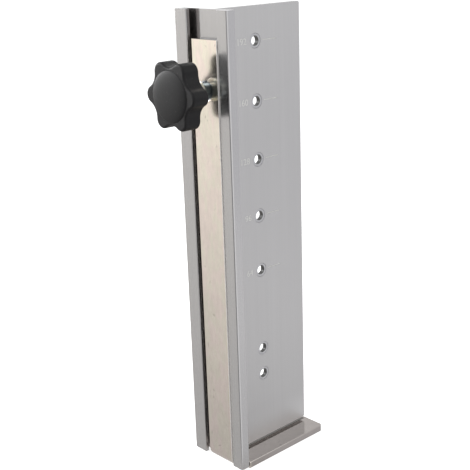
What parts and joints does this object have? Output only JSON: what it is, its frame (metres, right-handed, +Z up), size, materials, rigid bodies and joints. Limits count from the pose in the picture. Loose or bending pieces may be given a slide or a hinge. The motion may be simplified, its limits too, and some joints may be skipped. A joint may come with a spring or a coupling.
{
  "type": "handle drilling jig",
  "caption": "Handle drilling jig: grooved aluminium corner profile with a plate of bushed drill holes, a sliding bent-steel edge stop and a star clamp knob on a threaded stud.",
  "frame": {"origin": "on the foot's underside, straight below the column of drill holes, in the plane of the drill plate's front face", "axes": "+X along the drill plate away from the web, +Y to the rear of the plate, +Z up along the profile"},
  "size_m": [0.0939, 0.042, 0.257],
  "materials": {
    "anodised_aluminium": "satin natural anodised, matt grain along the extrusion",
    "brushed_steel": "bare rolled steel with a fine mottled grain",
    "zinc_plate": "bright blue-white zinc plating",
    "black_plastic": "fine-textured black moulded plastic with a soft sheen",
    "hardened_steel": "ground hardened steel"
  },
  "bodies": {
    "profile": {"jig_profile": "anodised_aluminium", "drill_bush_0": "hardened_steel", "drill_bush_16": "hardened_steel", "drill_bush_64": "hardened_steel", "drill_bush_96": "hardened_steel", "drill_bush_128": "hardened_steel", "drill_bush_160": "hardened_steel", "drill_bush_192": "hardened_steel"},
    "stop": {"sliding_stop": "brushed_steel", "clamp_nut": "zinc_plate"},
    "insert": {"knob_insert": "zinc_plate"},
    "knob": {"knob_grip": "black_plastic", "knob_stud": "zinc_plate"}
  },
  "joints": [
    {"name": "stop_slide", "type": "slide", "parent": "profile", "child": "stop", "axis": [0, 0, -1], "range_m": [0, 0.04]},
    {"name": "knob_travel", "type": "slide", "parent": "stop", "child": "insert", "axis": [-1, 0, 0], "range_m": [-0.0047, 0.0013]},
    {"name": "knob_turn", "type": "hinge", "parent": "insert", "child": "knob", "pos_m": [-0.032, 0.0037, 0.2162], "axis": [-1, 0, 0], "range_deg": [-1350, 360]}
  ],
  "couplings": [
    {"joint": "knob_travel", "follows": "knob_turn", "m_per_rad": 0.00019894}
  ]
}
